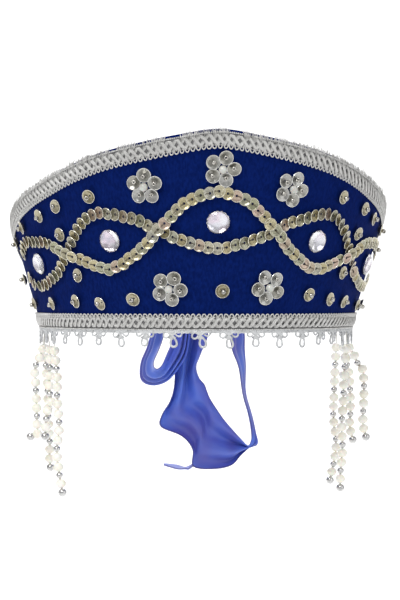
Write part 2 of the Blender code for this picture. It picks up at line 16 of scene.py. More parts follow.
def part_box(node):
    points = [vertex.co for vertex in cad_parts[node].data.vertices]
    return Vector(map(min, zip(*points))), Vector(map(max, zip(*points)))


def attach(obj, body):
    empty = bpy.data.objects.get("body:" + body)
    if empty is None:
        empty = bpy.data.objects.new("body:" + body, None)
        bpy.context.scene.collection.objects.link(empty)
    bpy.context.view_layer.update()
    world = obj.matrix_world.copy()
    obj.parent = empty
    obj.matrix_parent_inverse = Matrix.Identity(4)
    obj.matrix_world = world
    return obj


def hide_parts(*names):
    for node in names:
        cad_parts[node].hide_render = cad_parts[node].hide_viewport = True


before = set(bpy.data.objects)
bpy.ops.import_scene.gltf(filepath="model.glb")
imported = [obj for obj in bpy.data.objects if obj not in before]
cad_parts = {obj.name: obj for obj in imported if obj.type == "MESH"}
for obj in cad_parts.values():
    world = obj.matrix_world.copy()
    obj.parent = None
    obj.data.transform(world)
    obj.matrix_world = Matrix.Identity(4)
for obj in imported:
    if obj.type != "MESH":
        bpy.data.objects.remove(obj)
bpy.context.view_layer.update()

MM = 0.001
LEVEL = np.array((0.0, 0.0, 1.0))
RNG = np.random.default_rng(7)

# Crown
SEAT_GAP = 0.3 * MM
HEM_HALF_WIDTH = 81.5 * MM
HEM_HALF_DEPTH = 98 * MM
FLARE = radians(16)
WALL = 3 * MM
FRONT_RISE = 97 * MM
BAND_END_TURN = 118
CROWN_COLUMNS = 236
WALL_SAMPLES = 473
CROWN_EDGE_RADIUS = 1.1 * MM

# Braid
BRAID_WIDTH = 8 * MM
RIM_MARGIN = 0.6 * MM
PICOT_PITCH = 2.55 * MM
ZIGZAG_PERIOD = 7.3 * MM
STITCH_PITCH = 0.95 * MM
SHADE_STRIP_STEPS = 420
PICOT_THREAD = 0.33 * MM
BUNDLE_THREAD = 0.29 * MM
STITCH_RADIUS = 0.42 * MM
FRAYED_COUNT = 2400
FRAYED_THREAD = 0.13 * MM

# One picot of the braid, in pitches along, as a share of the braid's width, and in millimetres out
PICOT = (
    (-0.42, 0.70, 0.6), (-0.36, 0.86, 0.8), (-0.2, 0.97, 0.9), (0.0, 1.0, 0.95), (0.2, 0.97, 0.9),
    (0.36, 0.86, 0.8), (0.42, 0.70, 0.6), (0.5, 0.66, 0.5),
)

# Stretches of turn where no frayed thread covers the rim
FRAY_GAPS = ((-27.5, -25.0), (-20.0, -18.5), (-13.3, -9.5), (2.1, 5.5))

# Lace
LACE_REPEAT = 13.6 * MM
LACE_DROP = 8.4 * MM
LACE_RAISE = 0.6
HEADING_THREAD = 0.3 * MM
LOOP_THREAD = 0.34 * MM
FILL_THREAD = 0.31 * MM

# Heading lines of the lace, in millimetres: drop, distance out
LACE_HEADING = ((-0.4, 0.6), (0.2, 0.45), (0.8, 0.5))

# Loops of a trefoil: lean in degrees, then start, width and height in millimetres
TREFOIL = ((0, 3.3, 4.5, 5.2), (-54, 0.9, 3.7, 4.3), (54, 0.9, 3.7, 4.3))

# Sequin strings
STRING_SEQUIN_RADIUS = 3 * MM
STRING_SEQUIN_PITCH = 4.3 * MM
STRING_TILT = 14
SIDE_TURN = 52
CROSSING_LIFT = 1.6 * MM
CROSSING_REACH = 11 * MM
CROSSING_RAMP = 5.5 * MM
CROSSING_TURNS = (16.0, 47.6)

# Cup sequins, flowers and stones
CUP_RADIUS = 3.4 * MM
CUP_HEIGHT = 1.6 * MM
PETAL_HEIGHT = 1.0 * MM
SEED_RADIUS = 1.2 * MM
PETAL_COUNT = 5
PETAL_RING = 5.4 * MM
FLOWER_PEARL_RADIUS = 2 * MM
STONE_RADIUS = 5.5 * MM
STONE_FACETS = 16

# Pearl strands
PEARL_RADIUS = 2.6 * MM
SILVER_RADIUS = 1.8 * MM
END_BALL_RADIUS = 2.2 * MM
BEAD_PITCH = 4.55 * MM
STRAND_THREAD = 8.5 * MM
BEAD_HOLE = 0.32 * MM
CORD_RADIUS = 0.154 * MM
CORD_SHIFT = 0.12 * MM

# Ribbon
RIBBON_WIDTH = 40 * MM
RIBBON_CLOTH = 0.35 * MM
KNOT_ACROSS, KNOT_UP = 0.1, 0.3
KNOT_HALF_WIDTH, KNOT_HALF_DEPTH, KNOT_HALF_HEIGHT = 0.2, 0.175, 0.2

# Stage, in metres
STAGE_FLOOR = -0.45
STAGE_BEND = 1.0
STAGE_REACH, STAGE_TOP = 6.0, 1.6
BACKDROP_REACH, BACKDROP_TOP = 2.6, 3.2

# Camera, from the photo's perspective
CAMERA_AZIMUTH = radians(-5.5)
CAMERA_DISTANCE = 948 * MM
CAMERA_RIGHT = 2.4 * MM
CAMERA_HEIGHT = 14.5 * MM
CAMERA_LENS = 107.1

# Rim, as shares of FRONT_RISE: turn, rise
RIM = (
    (-10, 0.973), (0, 1.0), (10, 0.973), (20, 0.937), (30, 0.898), (40, 0.846), (50, 0.788),
    (60, 0.735), (70, 0.68), (80, 0.62), (90, 0.55), (100, 0.46), (110, 0.365), (118, 0.29),
)

# Middle line of each sequin string on the +X side, as shares of FRONT_RISE: turn, rise
WAVE_A = (
    (0, 0.698), (5, 0.677), (9, 0.638), (13.5, 0.560), (17.5, 0.487), (21.5, 0.416), (26.8, 0.353),
    (31.5, 0.323), (36, 0.329), (42.8, 0.371), (50.5, 0.431), (56, 0.461), (62, 0.472), (68.4, 0.472),
    (72.5, 0.455), (76, 0.415), (77.8, 0.366),
)
WAVE_B = (
    (0, 0.420), (5.5, 0.437), (11, 0.466), (15.2, 0.504), (19.9, 0.546), (24.9, 0.577), (30.5, 0.598),
    (36, 0.590), (41.3, 0.523), (45.5, 0.443), (49.9, 0.371), (52.3, 0.322), (55.8, 0.286),
    (60.3, 0.256), (66.7, 0.232), (73, 0.250), (77, 0.292), (78, 0.320),
)
WAVE_STEPS = 12

# Spin of each flower's petals, in degrees
FLOWER_SPINS = {"top": -16, "upper_left": 0, "upper_right": -24, "lower_left": -25, "lower_right": -42}

# Strands: turn at the hem, beads, and the route in thousandths of its length: drop, outward lean
STRANDS = {
    "left_1": (-71, 17, ((140, -7), (260, -19), (420, -22), (570, -33), (720, -19), (870, -37),
        (980, -56))),
    "left_2": (-80, 11, ((220, -27), (510, -17), (610, -36), (710, 0), (800, 9), (950, 19))),
    "left_3": (-88, 12, ((190, 17), (280, 54), (350, 84), (490, 76), (790, 65), (925, 70), (917, 152))),
    "left_4": (-97, 15, ((160, 5), (390, -13), (630, -21), (810, -31), (860, -26), (980, -39))),
    "right_1": (78, 17, ((140, -8), (260, -20), (420, -26), (570, -36), (720, -31), (870, -44),
        (980, -44))),
    "right_2": (86, 12, ((130, 10), (190, 54), (280, 93), (340, 136), (540, 143), (750, 135), (890, 168))),
    "right_3": (93, 12, ((200, 17), (400, 57), (680, 68), (800, 60), (950, 95))),
    "right_4": (100, 17, ((140, -3), (420, -16), (580, -20), (760, -3), (990, -47))),
}
STRAND_STEPS = 8

# Ties, on the +X side: turn, middle rise and half height as shares of RIBBON_WIDTH, and how many
# times further in than the band's inner face the ribbon lies. The last row is at the knot
TIES = (
    (107, 0.34, 0.24, 1.0), (118, 0.34, 0.26, 1.0), (126, 0.34, 0.30, 1.0), (138, 0.33, 0.33, 1.05),
    (150, 0.32, 0.32, 1.15), (160, 0.31, 0.27, 1.25), (168, 0.30, 0.20, 1.4), (176, 0.30, 0.13, 1.5),
)

# Bow, in hundredths of RIBBON_WIDTH from the back of the hem: the ribbon's two edges, across, back and up
BOW_LOOP_RIGHT = (
    (31, 4, 20, 31, 12, 40), (50, 5, 28, 60, 40, 45), (68, 5, 8, 95, 70, 20), (73, 5, -12, 105, 82, -12),
    (78, 6, -38, 106, 86, -39), (88, 10, -64, 108, 88, -65), (94, 13, -101, 108, 88, -105),
    (104, 18, -134, 115, 76, -138), (109, 23, -161, 118, 54, -163), (107, 25, -175, 120, 42, -179),
    (102, 20, -179, 106, 26, -183), (91, 18, -168, 92, 20, -194), (78, 15, -154, 78, 18, -208),
    (66, 13, -140, 52, 15, -213), (57, 13, -127, 21, 13, -209), (49, 13, -115, 20, 13, -184),
    (44, 13, -106, 4, 13, -164), (41, 13, -98, -27, 13, -150), (37, 12, -88, -25, 13, -132),
    (29, 11, -78, -13, 13, -112), (25, 10, -62, -7, 12, -88), (31, 9, -44, -7, 11, -53),
    (42, 7, -12, -12, 9, -12), (25, 5, 8.5, -5, 5, 8.5),
)
BOW_LOOP_LEFT = (
    (-11.5, 4, 22, -11.5, 12, 38), (-20, 5, 2, -30, 35, 12), (-24, 5, -18, -34, 60, -18),
    (-30, 3, -35, -42, 66, -38), (-38, 0, -53, -51, 70, -60), (-38, -4, -62, -51, 66, -83),
    (-33, -8, -64, -37, 52, -89), (-27, -12, -58, -17, 20, -81), (-21, -17, -43, -2, -12, -62),
    (-13, -17, -23, 10, -16, -38), (-4, -12.5, 14.5, 15, -12.5, 10),
)
RIBBON_TAIL = (
    (-3, 16.5, 19, 23, 16.5, 19), (-1, 25, -30, 26, 25, -30), (-5, 30, -70, 26, 30, -70),
    (6, 32, -121, 43, 32, -121), (28, 32, -173, 67, 32, -173), (26, 28, -199, 45, 70, -203),
    (15, 12, -211, 24, 88, -215), (8, 6, -211, 15, 90, -218), (-4, 4, -211, 3, 90, -214),
    (-23, 3, -205, -17, 90, -212),
)


# Places on the flared wall

def unit(vectors):
    """Vectors of length one, along the last axis."""
    return vectors / np.linalg.norm(vectors, axis=-1, keepdims=True)


def wall_point(turn, rise, out=0.0):
    """Points at turns and rises, and distances out from the wall's outer face."""
    turn, rise, out = np.broadcast_arrays(*(np.asarray(value, float) for value in (turn, rise, out)))
    angle = np.radians(turn)
    flat = np.zeros_like(angle)
    level = unit(np.stack((np.sin(angle) / HEM_HALF_WIDTH, -np.cos(angle) / HEM_HALF_DEPTH, flat), -1))
    hem = np.stack((HEM_HALF_WIDTH * np.sin(angle), -HEM_HALF_DEPTH * np.cos(angle), flat), -1)
    reach = rise * sin(FLARE) + out * cos(FLARE)
    height = rise * cos(FLARE) - out * sin(FLARE)
    return hem + level * reach[..., None] + LEVEL * height[..., None]


def wall_axes(turn, rise):
    """Directions along the wall, up it and straight out of it."""
    along = unit(wall_point(np.asarray(turn) + 0.5, rise) - wall_point(np.asarray(turn) - 0.5, rise))
    up = unit(wall_point(turn, np.asarray(rise) + MM) - wall_point(turn, rise))
    return along, up, np.cross(along, up)


def wall_frame(turn, rise, out):
    """Placement whose X runs along the wall, Y up it and Z straight out of it."""
    placement = np.eye(4)
    placement[:3, :3] = np.stack(wall_axes(turn, rise), -1)
    placement[:3, 3] = wall_point(turn, rise, out)
    return placement


def wall_place(point):
    """Turn and rise of the place on the wall that is nearest to a point."""
    turn, rise = np.degrees(np.arctan2(point[0] / HEM_HALF_WIDTH, -point[1] / HEM_HALF_DEPTH)), 0.0
    for _ in range(12):
        along, up, _ = wall_axes(turn, rise)
        miss = np.asarray(point) - wall_point(turn, rise)
        degree = np.linalg.norm(wall_point(turn + 0.5, rise) - wall_point(turn - 0.5, rise))
        turn += float(miss @ along) / float(degree)
        rise += float(miss @ up)
    return turn, rise


def node_place(node):
    low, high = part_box(node)
    return wall_place(np.array(low + high) / 2)


def read_table(table, place):
    """Second column of a two-column table at a place in its first, on a smooth curve."""
    last = len(table) - 1
    row = min(sum(place > entry[0] for entry in table[1:]), last - 1)
    before, low, high, after = (table[index] for index in (max(row - 1, 0), row, row + 1, min(row + 2, last)))
    span = high[0] - low[0]
    share = (place - low[0]) / span
    slope_low = (high[1] - before[1]) / (high[0] - before[0]) * span
    slope_high = (after[1] - low[1]) / (after[0] - low[0]) * span
    bend = share * share * (3 - 2 * share)
    start = share * (1 - share) ** 2 * slope_low
    finish = share * share * (share - 1) * slope_high
    return low[1] + (high[1] - low[1]) * bend + start + finish


def rim_rise(turn):
    return FRONT_RISE * read_table(RIM, abs(turn))


# Curves

def smooth_points(points, steps):
    """Points on a smooth curve through the given ones, with some steps between each pair."""
    points = np.asarray(points, float)
    padded = np.vstack((points[:1], points, points[-1:]))
    share = (np.arange(steps) / steps)[:, None]
    square, cube = share ** 2, share ** 3
    smooth = []
    for before, low, high, after in zip(padded, padded[1:], padded[2:], padded[3:]):
        smooth.append(0.5 * (2 * low + (high - before) * share
                             + (2 * before - 5 * low + 4 * high - after) * square
                             + (3 * low - before - 3 * high + after) * cube))
    return np.vstack(smooth + [points[-1:]])


def running_lengths(points):
    return np.concatenate(([0.0], np.cumsum(np.linalg.norm(np.diff(points, axis=0), axis=1))))


def along_path(points, distances):
    """Points at distances along a path."""
    lengths = running_lengths(points)
    return np.stack([np.interp(distances, lengths, column) for column in points.T], -1)


# Shapes: each is its points, and its faces of four and of three corners

def tube(path, radius, hint, sides=6, closed=False):
    """Round tube along a path. The hint is any direction, or one for each point, across the path."""
    path = np.asarray(path, float)
    if closed:
        tangent = unit(np.roll(path, -1, 0) - np.roll(path, 1, 0))
    else:
        tangent = unit(np.gradient(path, axis=0))
    across = unit(np.cross(tangent, hint))
    over = np.cross(across, tangent)
    angle = 2 * pi * np.arange(sides) / sides
    ring = across[:, None] * np.cos(angle)[:, None] + over[:, None] * np.sin(angle)[:, None]
    radius = np.broadcast_to(np.asarray(radius, float), (len(path),))
    points = (path[:, None] + ring * radius[:, None, None]).reshape(-1, 3)
    count = len(path)
    start = np.arange(count if closed else count - 1)[:, None] * sides
    spot = np.arange(sides)[None]
    following = (spot + 1) % sides
    ahead = (start + sides) % (count * sides)
    quads = np.stack((start + spot, ahead + spot, ahead + following, start + following), -1).reshape(-1, 4)
    if closed:
        return points, quads, np.zeros((0, 3), int)
    fan = np.stack((np.zeros(sides - 2, int), np.arange(1, sides - 1), np.arange(2, sides)), -1)
    last = (count - 1) * sides
    return points, quads, np.vstack((fan, fan[:, ::-1] + last))


def lathe(profile, sides, closed=False):
    """Turned shape round Z. The profile's rows are radius and height, upwards along the outside.

    Rows may have half steps of turn as a third value. The faces between such rings are triangles.
    """
    points, quads, tris, rings = [], [], [], []
    for radius, height, *half_steps in profile:
        first = len(points)
        if radius > 0:
            angles = 2 * pi * (np.arange(sides) + sum(half_steps) / 2) / sides
            points += [(radius * cos(a), radius * sin(a), height) for a in angles]
        else:
            points.append((0, 0, height))
        rings.append(([first + spot * (radius > 0) for spot in range(sides)], half_steps))
    for (low, low_turn), (high, high_turn) in zip(rings, rings[1:] + (rings[:1] if closed else [])):
        for spot in range(sides):
            following = (spot + 1) % sides
            face = tuple(dict.fromkeys((low[spot], low[following], high[following], high[spot])))
            if len(face) == 3:
                tris.append(face)
            elif not low_turn:
                quads.append(face)
            elif high_turn > low_turn:
                tris += [face[:2] + face[3:], face[1:]]
            else:
                tris += [face[:3], face[:1] + face[2:]]
    return np.array(points, float), np.array(quads, int).reshape(-1, 4), np.array(tris, int).reshape(-1, 3)


def grid(points, closed_rows=False, closed_columns=False):
    """Surface through rows and columns of points."""
    rows, columns = points.shape[:2]
    row = np.arange(rows if closed_rows else rows - 1)[:, None]
    column = np.arange(columns if closed_columns else columns - 1)[None]
    next_row, next_column = (row + 1) % rows, (column + 1) % columns
    quads = np.stack((row * columns + column, row * columns + next_column,
                      next_row * columns + next_column, next_row * columns + column), -1)
    return points.reshape(-1, 3), quads.reshape(-1, 4), np.zeros((0, 3), int)


def ball(radius, sides, rings):
    rows = [(radius * sin(a), -radius * cos(a)) for a in pi * np.arange(1, rings) / rings]
    return lathe([(0, -radius)] + rows + [(0, radius)], sides)


def placed(shape, placement):
    points, quads, tris = shape
    return points @ placement[:3, :3].T + placement[:3, 3], quads, tris


def turned(axis, degrees):
    return np.array(Matrix.Rotation(radians(degrees), 4, axis))


def moved(x, y, z):
    placement = np.eye(4)
    placement[:3, 3] = (x, y, z)
    return placement


def add_object(name, data):
    made = bpy.data.objects.new(name, data)
    bpy.context.scene.collection.objects.link(made)
    return made


class Batch:
    """Many small shapes that are joined into one mesh, each with its own tint from 0 to 1."""

    def __init__(self):
        self.points, self.quads, self.tris, self.tints, self.count = [], [], [], [], 0

    def add(self, shape, placement=None, tint=0.5):
        points, quads, tris = shape if placement is None else placed(shape, placement)
        self.points.append(points)
        self.quads.append(quads + self.count)
        self.tris.append(tris + self.count)
        self.tints.append(np.full(len(points), tint))
        self.count += len(points)

    def piece(self, name, material, slot, replaces=(), flat=False):
        mesh = bpy.data.meshes.new(name)
        faces = np.vstack(self.quads).tolist() + np.vstack(self.tris).tolist()
        mesh.from_pydata(np.vstack(self.points).tolist(), [], faces)
        tint = mesh.attributes.new("tint", "FLOAT", "POINT")
        tint.data.foreach_set("value", np.concatenate(self.tints))
        if not flat:
            mesh.shade_smooth()
        mesh.materials.append(material)
        piece = add_object(name, mesh)
        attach(piece, "root")
        if replaces:
            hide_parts(*replaces)
        return piece


def one_piece(shape, name, material, slot, replaces=(), flat=False):
    batch = Batch()
    batch.add(shape)
    return batch.piece(name, material, slot, replaces, flat)


def sharpen(piece, degrees):
    piece.data.set_sharp_from_angle(angle=radians(degrees))


# Materials

class Nodes:
    """Short way to write the nodes of a material or of the world."""

    def __init__(self, name, kind="materials", shader="Principled BSDF", **values):
        self.owner = getattr(bpy.data, kind).new(name)
        self.owner.use_nodes = True
        self.tree = self.owner.node_tree
        self.shader = self.tree.nodes[shader]
        for key, value in values.items():
            self.shader.inputs[key.replace("_", " ")].default_value = value

    def node(self, kind, **values):
        made = self.tree.nodes.new("ShaderNode" + kind)
        for name, value in values.items():
            if hasattr(made, name):
                setattr(made, name, value)
            else:
                made.inputs[name.replace("_", " ")].default_value = value
        return made

    def link(self, source, target):
        self.tree.links.new(source, target)

    def noise(self, scale, detail, stretch=None):
        made = self.node("TexNoise", Scale=scale, Detail=detail)
        place = self.node("TexCoord").outputs["Object"]
        if stretch:
            mapping = self.node("Mapping", Scale=stretch)
            self.link(place, mapping.inputs["Vector"])
            place = mapping.outputs["Vector"]
        self.link(place, made.inputs["Vector"])
        return made.outputs["Fac"]

    def tint(self):
        return self.node("Attribute", attribute_name="tint").outputs["Fac"]

    def ramp(self, source, *stops):
        """Colours along a value: each stop is its place and its colour."""
        made = self.node("ValToRGB")
        while len(made.color_ramp.elements) < len(stops):
            made.color_ramp.elements.new(0.5)
        for element, (place, colour) in zip(made.color_ramp.elements, stops):
            element.position = place
            element.color = (*colour, 1)
        self.link(source, made.inputs["Fac"])
        return made.outputs["Color"]

    def colour(self, source):
        self.link(source, self.shader.inputs["Base Color"])

    def rough(self, source, low, high):
        made = self.node("MapRange", To_Min=low, To_Max=high)
        self.link(source, made.inputs["Value"])
        self.link(made.outputs["Result"], self.shader.inputs["Roughness"])

    def bump(self, source, distance, strength):
        made = self.node("Bump", Distance=distance * MM, Strength=strength)
        self.link(source, made.inputs["Height"])
        earlier = self.shader.inputs["Normal"]
        if earlier.links:
            self.link(earlier.links[0].from_socket, made.inputs["Normal"])
        self.link(made.outputs["Normal"], earlier)

    def finish(self, source, stops, rough=(), bumps=()):
        """Colour along a value, roughness (noise scale, two limits) and bumps (noise, depth, strength)."""
        self.colour(self.ramp(source, *stops))
        if rough:
            self.rough(self.noise(rough[0], 2), rough[1], rough[2])
        for grain, distance, strength in bumps:
            self.bump(self.noise(*grain), distance, strength)
        return self.owner


def noise_material(name, grain, stops, rough=(), bumps=(), **values):
    """Material whose colour follows a noise. The grain is the noise's scale, detail and stretch."""
    nodes = Nodes(name, **values)
    return nodes.finish(nodes.noise(*grain), stops, rough, bumps)


def crepe_material():
    grain = (900, 2, (1, 1, 0.45))
    stops = ((0.32, (0.0009, 0.0078, 0.077)), (0.7, (0.0021, 0.0132, 0.120)))
    return noise_material("crepe", grain, stops, (), ((grain, 0.25, 0.7), ((3200, 1), 0.08, 0.6)),
                          Roughness=0.85, Specular_IOR_Level=0.04)


def thread_material(name, dark, light, metallic, roughness):
    nodes = Nodes(name, Metallic=metallic)
    mix = nodes.node("Math", operation="ADD")
    nodes.link(nodes.noise(700, 2), mix.inputs[0])
    nodes.link(nodes.tint(), mix.inputs[1])
    return nodes.finish(mix.outputs["Value"], ((0.5, dark), (1.0, light)),
                        (500, roughness + 0.12, roughness - 0.08), (((2500, 1), 0.08, 0.5),))


def sequin_material(name, roughness, metallic, *stops):
    nodes = Nodes(name, Metallic=metallic, Coat_Weight=0.3, Coat_Roughness=0.1)
    return nodes.finish(nodes.tint(), stops, (500, roughness - 0.06, roughness + 0.12),
                        (((1400, 2), 0.1, 0.5),))


def pearl_material(name, dark, light):
    return noise_material(name, (220, 2), ((0.3, dark), (0.72, light)), (800, 0.2, 0.32),
                          (((350, 1), 0.05, 0.15),), Coat_Weight=0.5, Coat_Roughness=0.08,
                          Subsurface_Weight=0.12, Subsurface_Scale=0.002)


def bead_metal(name, dark, light, smooth, rough):
    return noise_material(name, (600, 2), ((0.3, dark), (0.7, light)), (900, smooth, rough), Metallic=1.0)


def satin_material():
    nodes = Nodes("satin", Sheen_Weight=0.35, Sheen_Roughness=0.35, Sheen_Tint=(0.55, 0.6, 1, 1),
                  Specular_IOR_Level=0.5, Anisotropic=0.4)
    cloth_map = nodes.node("UVMap", uv_map="cloth").outputs["UV"]
    across = nodes.node("SeparateXYZ")
    nodes.link(cloth_map, across.inputs["Vector"])
    broad = nodes.noise(35, 2)
    cloth = nodes.ramp(broad, (0.35, (0.088, 0.084, 0.41)), (0.62, (0.078, 0.158, 0.65)))
    black, white = (0, 0, 0), (1, 1, 1)
    edge = nodes.ramp(across.outputs["X"], (0.0, white), (0.025, black), (0.975, black), (1.0, white))
    # A colour mix has its factor in socket 0, its colours in 6 and 7 and its result in 2
    mix = nodes.node("Mix", data_type="RGBA")
    nodes.link(edge, mix.inputs[0])
    nodes.link(cloth, mix.inputs[6])
    mix.inputs[7].default_value = (0.05, 0.035, 0.20, 1)
    nodes.colour(mix.outputs[2])
    nodes.rough(broad, 0.36, 0.46)
    rib = nodes.node("TexWave", bands_direction="Y", Scale=260.0, Distortion=0.4)
    nodes.link(cloth_map, rib.inputs["Vector"])
    nodes.bump(rib.outputs["Fac"], 0.03, 0.35)
    return nodes.owner


# Crown: one closed shell of cloth with rounded edges and a slightly uneven surface

def crown_section(turn):
    """Section of the wall as rows of rise and out, up the outside and down the inside."""
    edge, rim, foot = CROWN_EDGE_RADIUS, rim_rise(turn), -WALL * tan(FLARE)

    def corner(rise, out, quarter):
        rise += edge if quarter > 1 else -edge
        out += edge if quarter in (1, 2) else -edge
        return [(rise + edge * sin(a), out + edge * cos(a))
                for a in quarter * pi / 2 + np.linspace(0, pi / 2, 5)]

    outer = [(rise, 0) for rise in np.linspace(edge, rim - edge, 46)[1:-1]]
    inner = [(rise, -WALL) for rise in np.linspace(rim - edge, foot + edge, 26)[1:-1]]
    return (outer + corner(rim, 0, 0) + corner(rim, -WALL, 1)
            + inner + corner(foot, -WALL, 2) + corner(0, 0, 3))


def build_crown(material):
    turns = np.linspace(-BAND_END_TURN, BAND_END_TURN, CROWN_COLUMNS + 1)
    points = np.array([wall_point(turn, *np.array(crown_section(turn)).T) for turn in turns])
    for column, turn in enumerate(turns):
        outward = wall_axes(turn, rim_rise(turn) / 2)[2]
        for row in range(points.shape[1]):
            place = Vector(points[column, row])
            ripple = 0.13 * noise.noise(place * 70) + 0.09 * noise.noise(place * 260)
            points[column, row] += outward * ripple * MM
    piece = one_piece(grid(points, closed_columns=True), "crown_cloth", material, "crepe", ["crown"])
    close_ends(piece, points)
    sharpen(piece, 60)


def close_ends(piece, points, backwards=False):
    """Closes the first and the last ring of a grid's mesh with triangles."""
    mesh = bmesh.new()
    mesh.from_mesh(piece.data)
    mesh.verts.ensure_lookup_table()
    rings = np.arange(points.shape[0] * points.shape[1]).reshape(points.shape[:2])
    made = []
    for ring in (rings[0], rings[-1, ::-1]):
        order = ring[::-1] if backwards else ring
        made.append(mesh.faces.new([mesh.verts[index] for index in order.tolist()]))
    bmesh.ops.triangulate(mesh, faces=made, ngon_method="EAR_CLIP")
    bmesh.ops.recalc_face_normals(mesh, faces=mesh.faces)
    mesh.to_mesh(piece.data)
    mesh.free()


# Braid: a dark strip of painted shade that shows in the gaps between the threads, a row of picots, two
# bundles of threads that cross, and stitches at both edges

class Strip:
    """Flat coordinates on the wall: distance along a line of turn and low rise, height above it, and out."""

    def __init__(self, low_rise, width=BRAID_WIDTH):
        self.turns = np.linspace(-BAND_END_TURN, BAND_END_TURN, WALL_SAMPLES)
        self.low = np.array([low_rise(turn) for turn in self.turns])
        self.lengths = running_lengths(wall_point(self.turns, self.low + width / 2))
        self.length = self.lengths[-1]

    def place(self, along):
        turn = np.interp(np.clip(along, 0, self.length), self.lengths, self.turns)
        return turn, np.interp(turn, self.turns, self.low)

    def points(self, along, up, out):
        turn, low = self.place(along)
        return wall_point(turn, low + up, out)

    def add_thread(self, batch, along, up, out, radius, tint=0.5, sides=6):
        outward = wall_axes(*self.place(along))[2]
        batch.add(tube(self.points(along, up, out), radius, outward, sides), tint=tint)


def build_braid(name, low_rise, on_rim, thread, gap_shade):
    """On the rim the picots hang down and frayed threads stand up. On the hem the picots stand up."""
    strip = Strip(low_rise)
    length = strip.length

    def height(share):
        """Height across the braid from its plain edge, 0, to its edge of picots, 1."""
        share = np.asarray(share, float)
        return BRAID_WIDTH * (1 - share if on_rim else share)

    # Dark strip under the threads: painted shade, which shows in the gaps between them
    along = np.linspace(0.2 * MM, length - 0.2 * MM, SHADE_STRIP_STEPS)
    section = ((0.04, 0.3), (0.05, 0.5), (0.5, 0.6), (0.86, 0.5), (0.87, 0.3))
    rows = [strip.points(along, height(share), out * MM) for share, out in section]
    points = np.stack(rows[::-1] if on_rim else rows, 1)
    base = one_piece(grid(points, closed_columns=True), name + "_backing", gap_shade, "braid")
    close_ends(base, points, backwards=True)

    batch = Batch()
    pitches = int(length / PICOT_PITCH)
    pitch = length / pitches
    spots = [((index + 0.5 + side + 0.04 * RNG.standard_normal()) * pitch, float(height(share)), out * MM)
             for index in range(pitches) for side, share, out in PICOT]
    along, up, out = smooth_points(spots, 2).T
    strip.add_thread(batch, along, up, out, PICOT_THREAD, 0.95, 5)
    periods = int(length / ZIGZAG_PERIOD)
    period = length / periods
    along = np.linspace(0, length, periods * 16 + 1)
    for bundle in (0, 1):
        phase = 2 * pi * along / period + pi * bundle + 0.35 * np.sin(along * 330) * np.sin(along * 71)
        wave = np.arcsin(0.97 * np.sin(phase)) / (pi / 2)
        over = 1.0 * MM + 0.35 * MM * np.cos(phase)
        for strand in range(3):
            shift = (strand - 1) * 0.62 * MM
            jitter = 0.1 * MM * np.sin(along * 4100 + 3 * strand + 5 * bundle)
            strip.add_thread(batch, along + shift, height(0.46 + 0.34 * wave) + jitter, over, BUNDLE_THREAD,
                             0.35 + 0.25 * strand)
    stitch = ball(STITCH_RADIUS, 6, 4)
    count = int(length / STITCH_PITCH)
    spots = (np.arange(count) + 0.5) * length / count
    for share, size in ((0.05, 1.0), (0.80, 0.8)):
        for place in strip.points(spots, height(share), 0.9 * MM):
            placement = moved(*place)
            placement[:3, :3] *= size * RNG.uniform(0.85, 1.15)
            batch.add(stitch, placement, RNG.uniform(0.3, 0.9))
    steps = np.array((0.0, 0.5, 1.0))
    for _ in range(FRAYED_COUNT if on_rim else 0):
        start = RNG.uniform(0, length)
        if any(low < strip.place(start)[0] < high for low, high in FRAY_GAPS):
            continue
        lean = RNG.normal(0, 0.8) * MM
        low = RNG.uniform(1.0, 2.4) * MM
        reach = low + RNG.gamma(5, 0.24) * MM
        strip.add_thread(batch, start + lean * steps ** 1.5, BRAID_WIDTH - low + reach * steps,
                         (1.35 - 0.7 * steps) * MM, FRAYED_THREAD, RNG.uniform(0.1, 1), 3)
    batch.piece(name + "_threads", thread, "braid", [name + "_braid"])


# Lace: thread loops under the hem

def loop_path(width, height, pinch):
    """Closed loop that hangs from its narrow end at the origin: across, drop."""
    angle = np.linspace(0, 2 * pi, 26, endpoint=False)
    share = (1 - np.cos(angle)) / 2
    return np.stack((width / 2 * np.sin(angle) * (pinch + (1 - pinch) * share), height * share), -1)


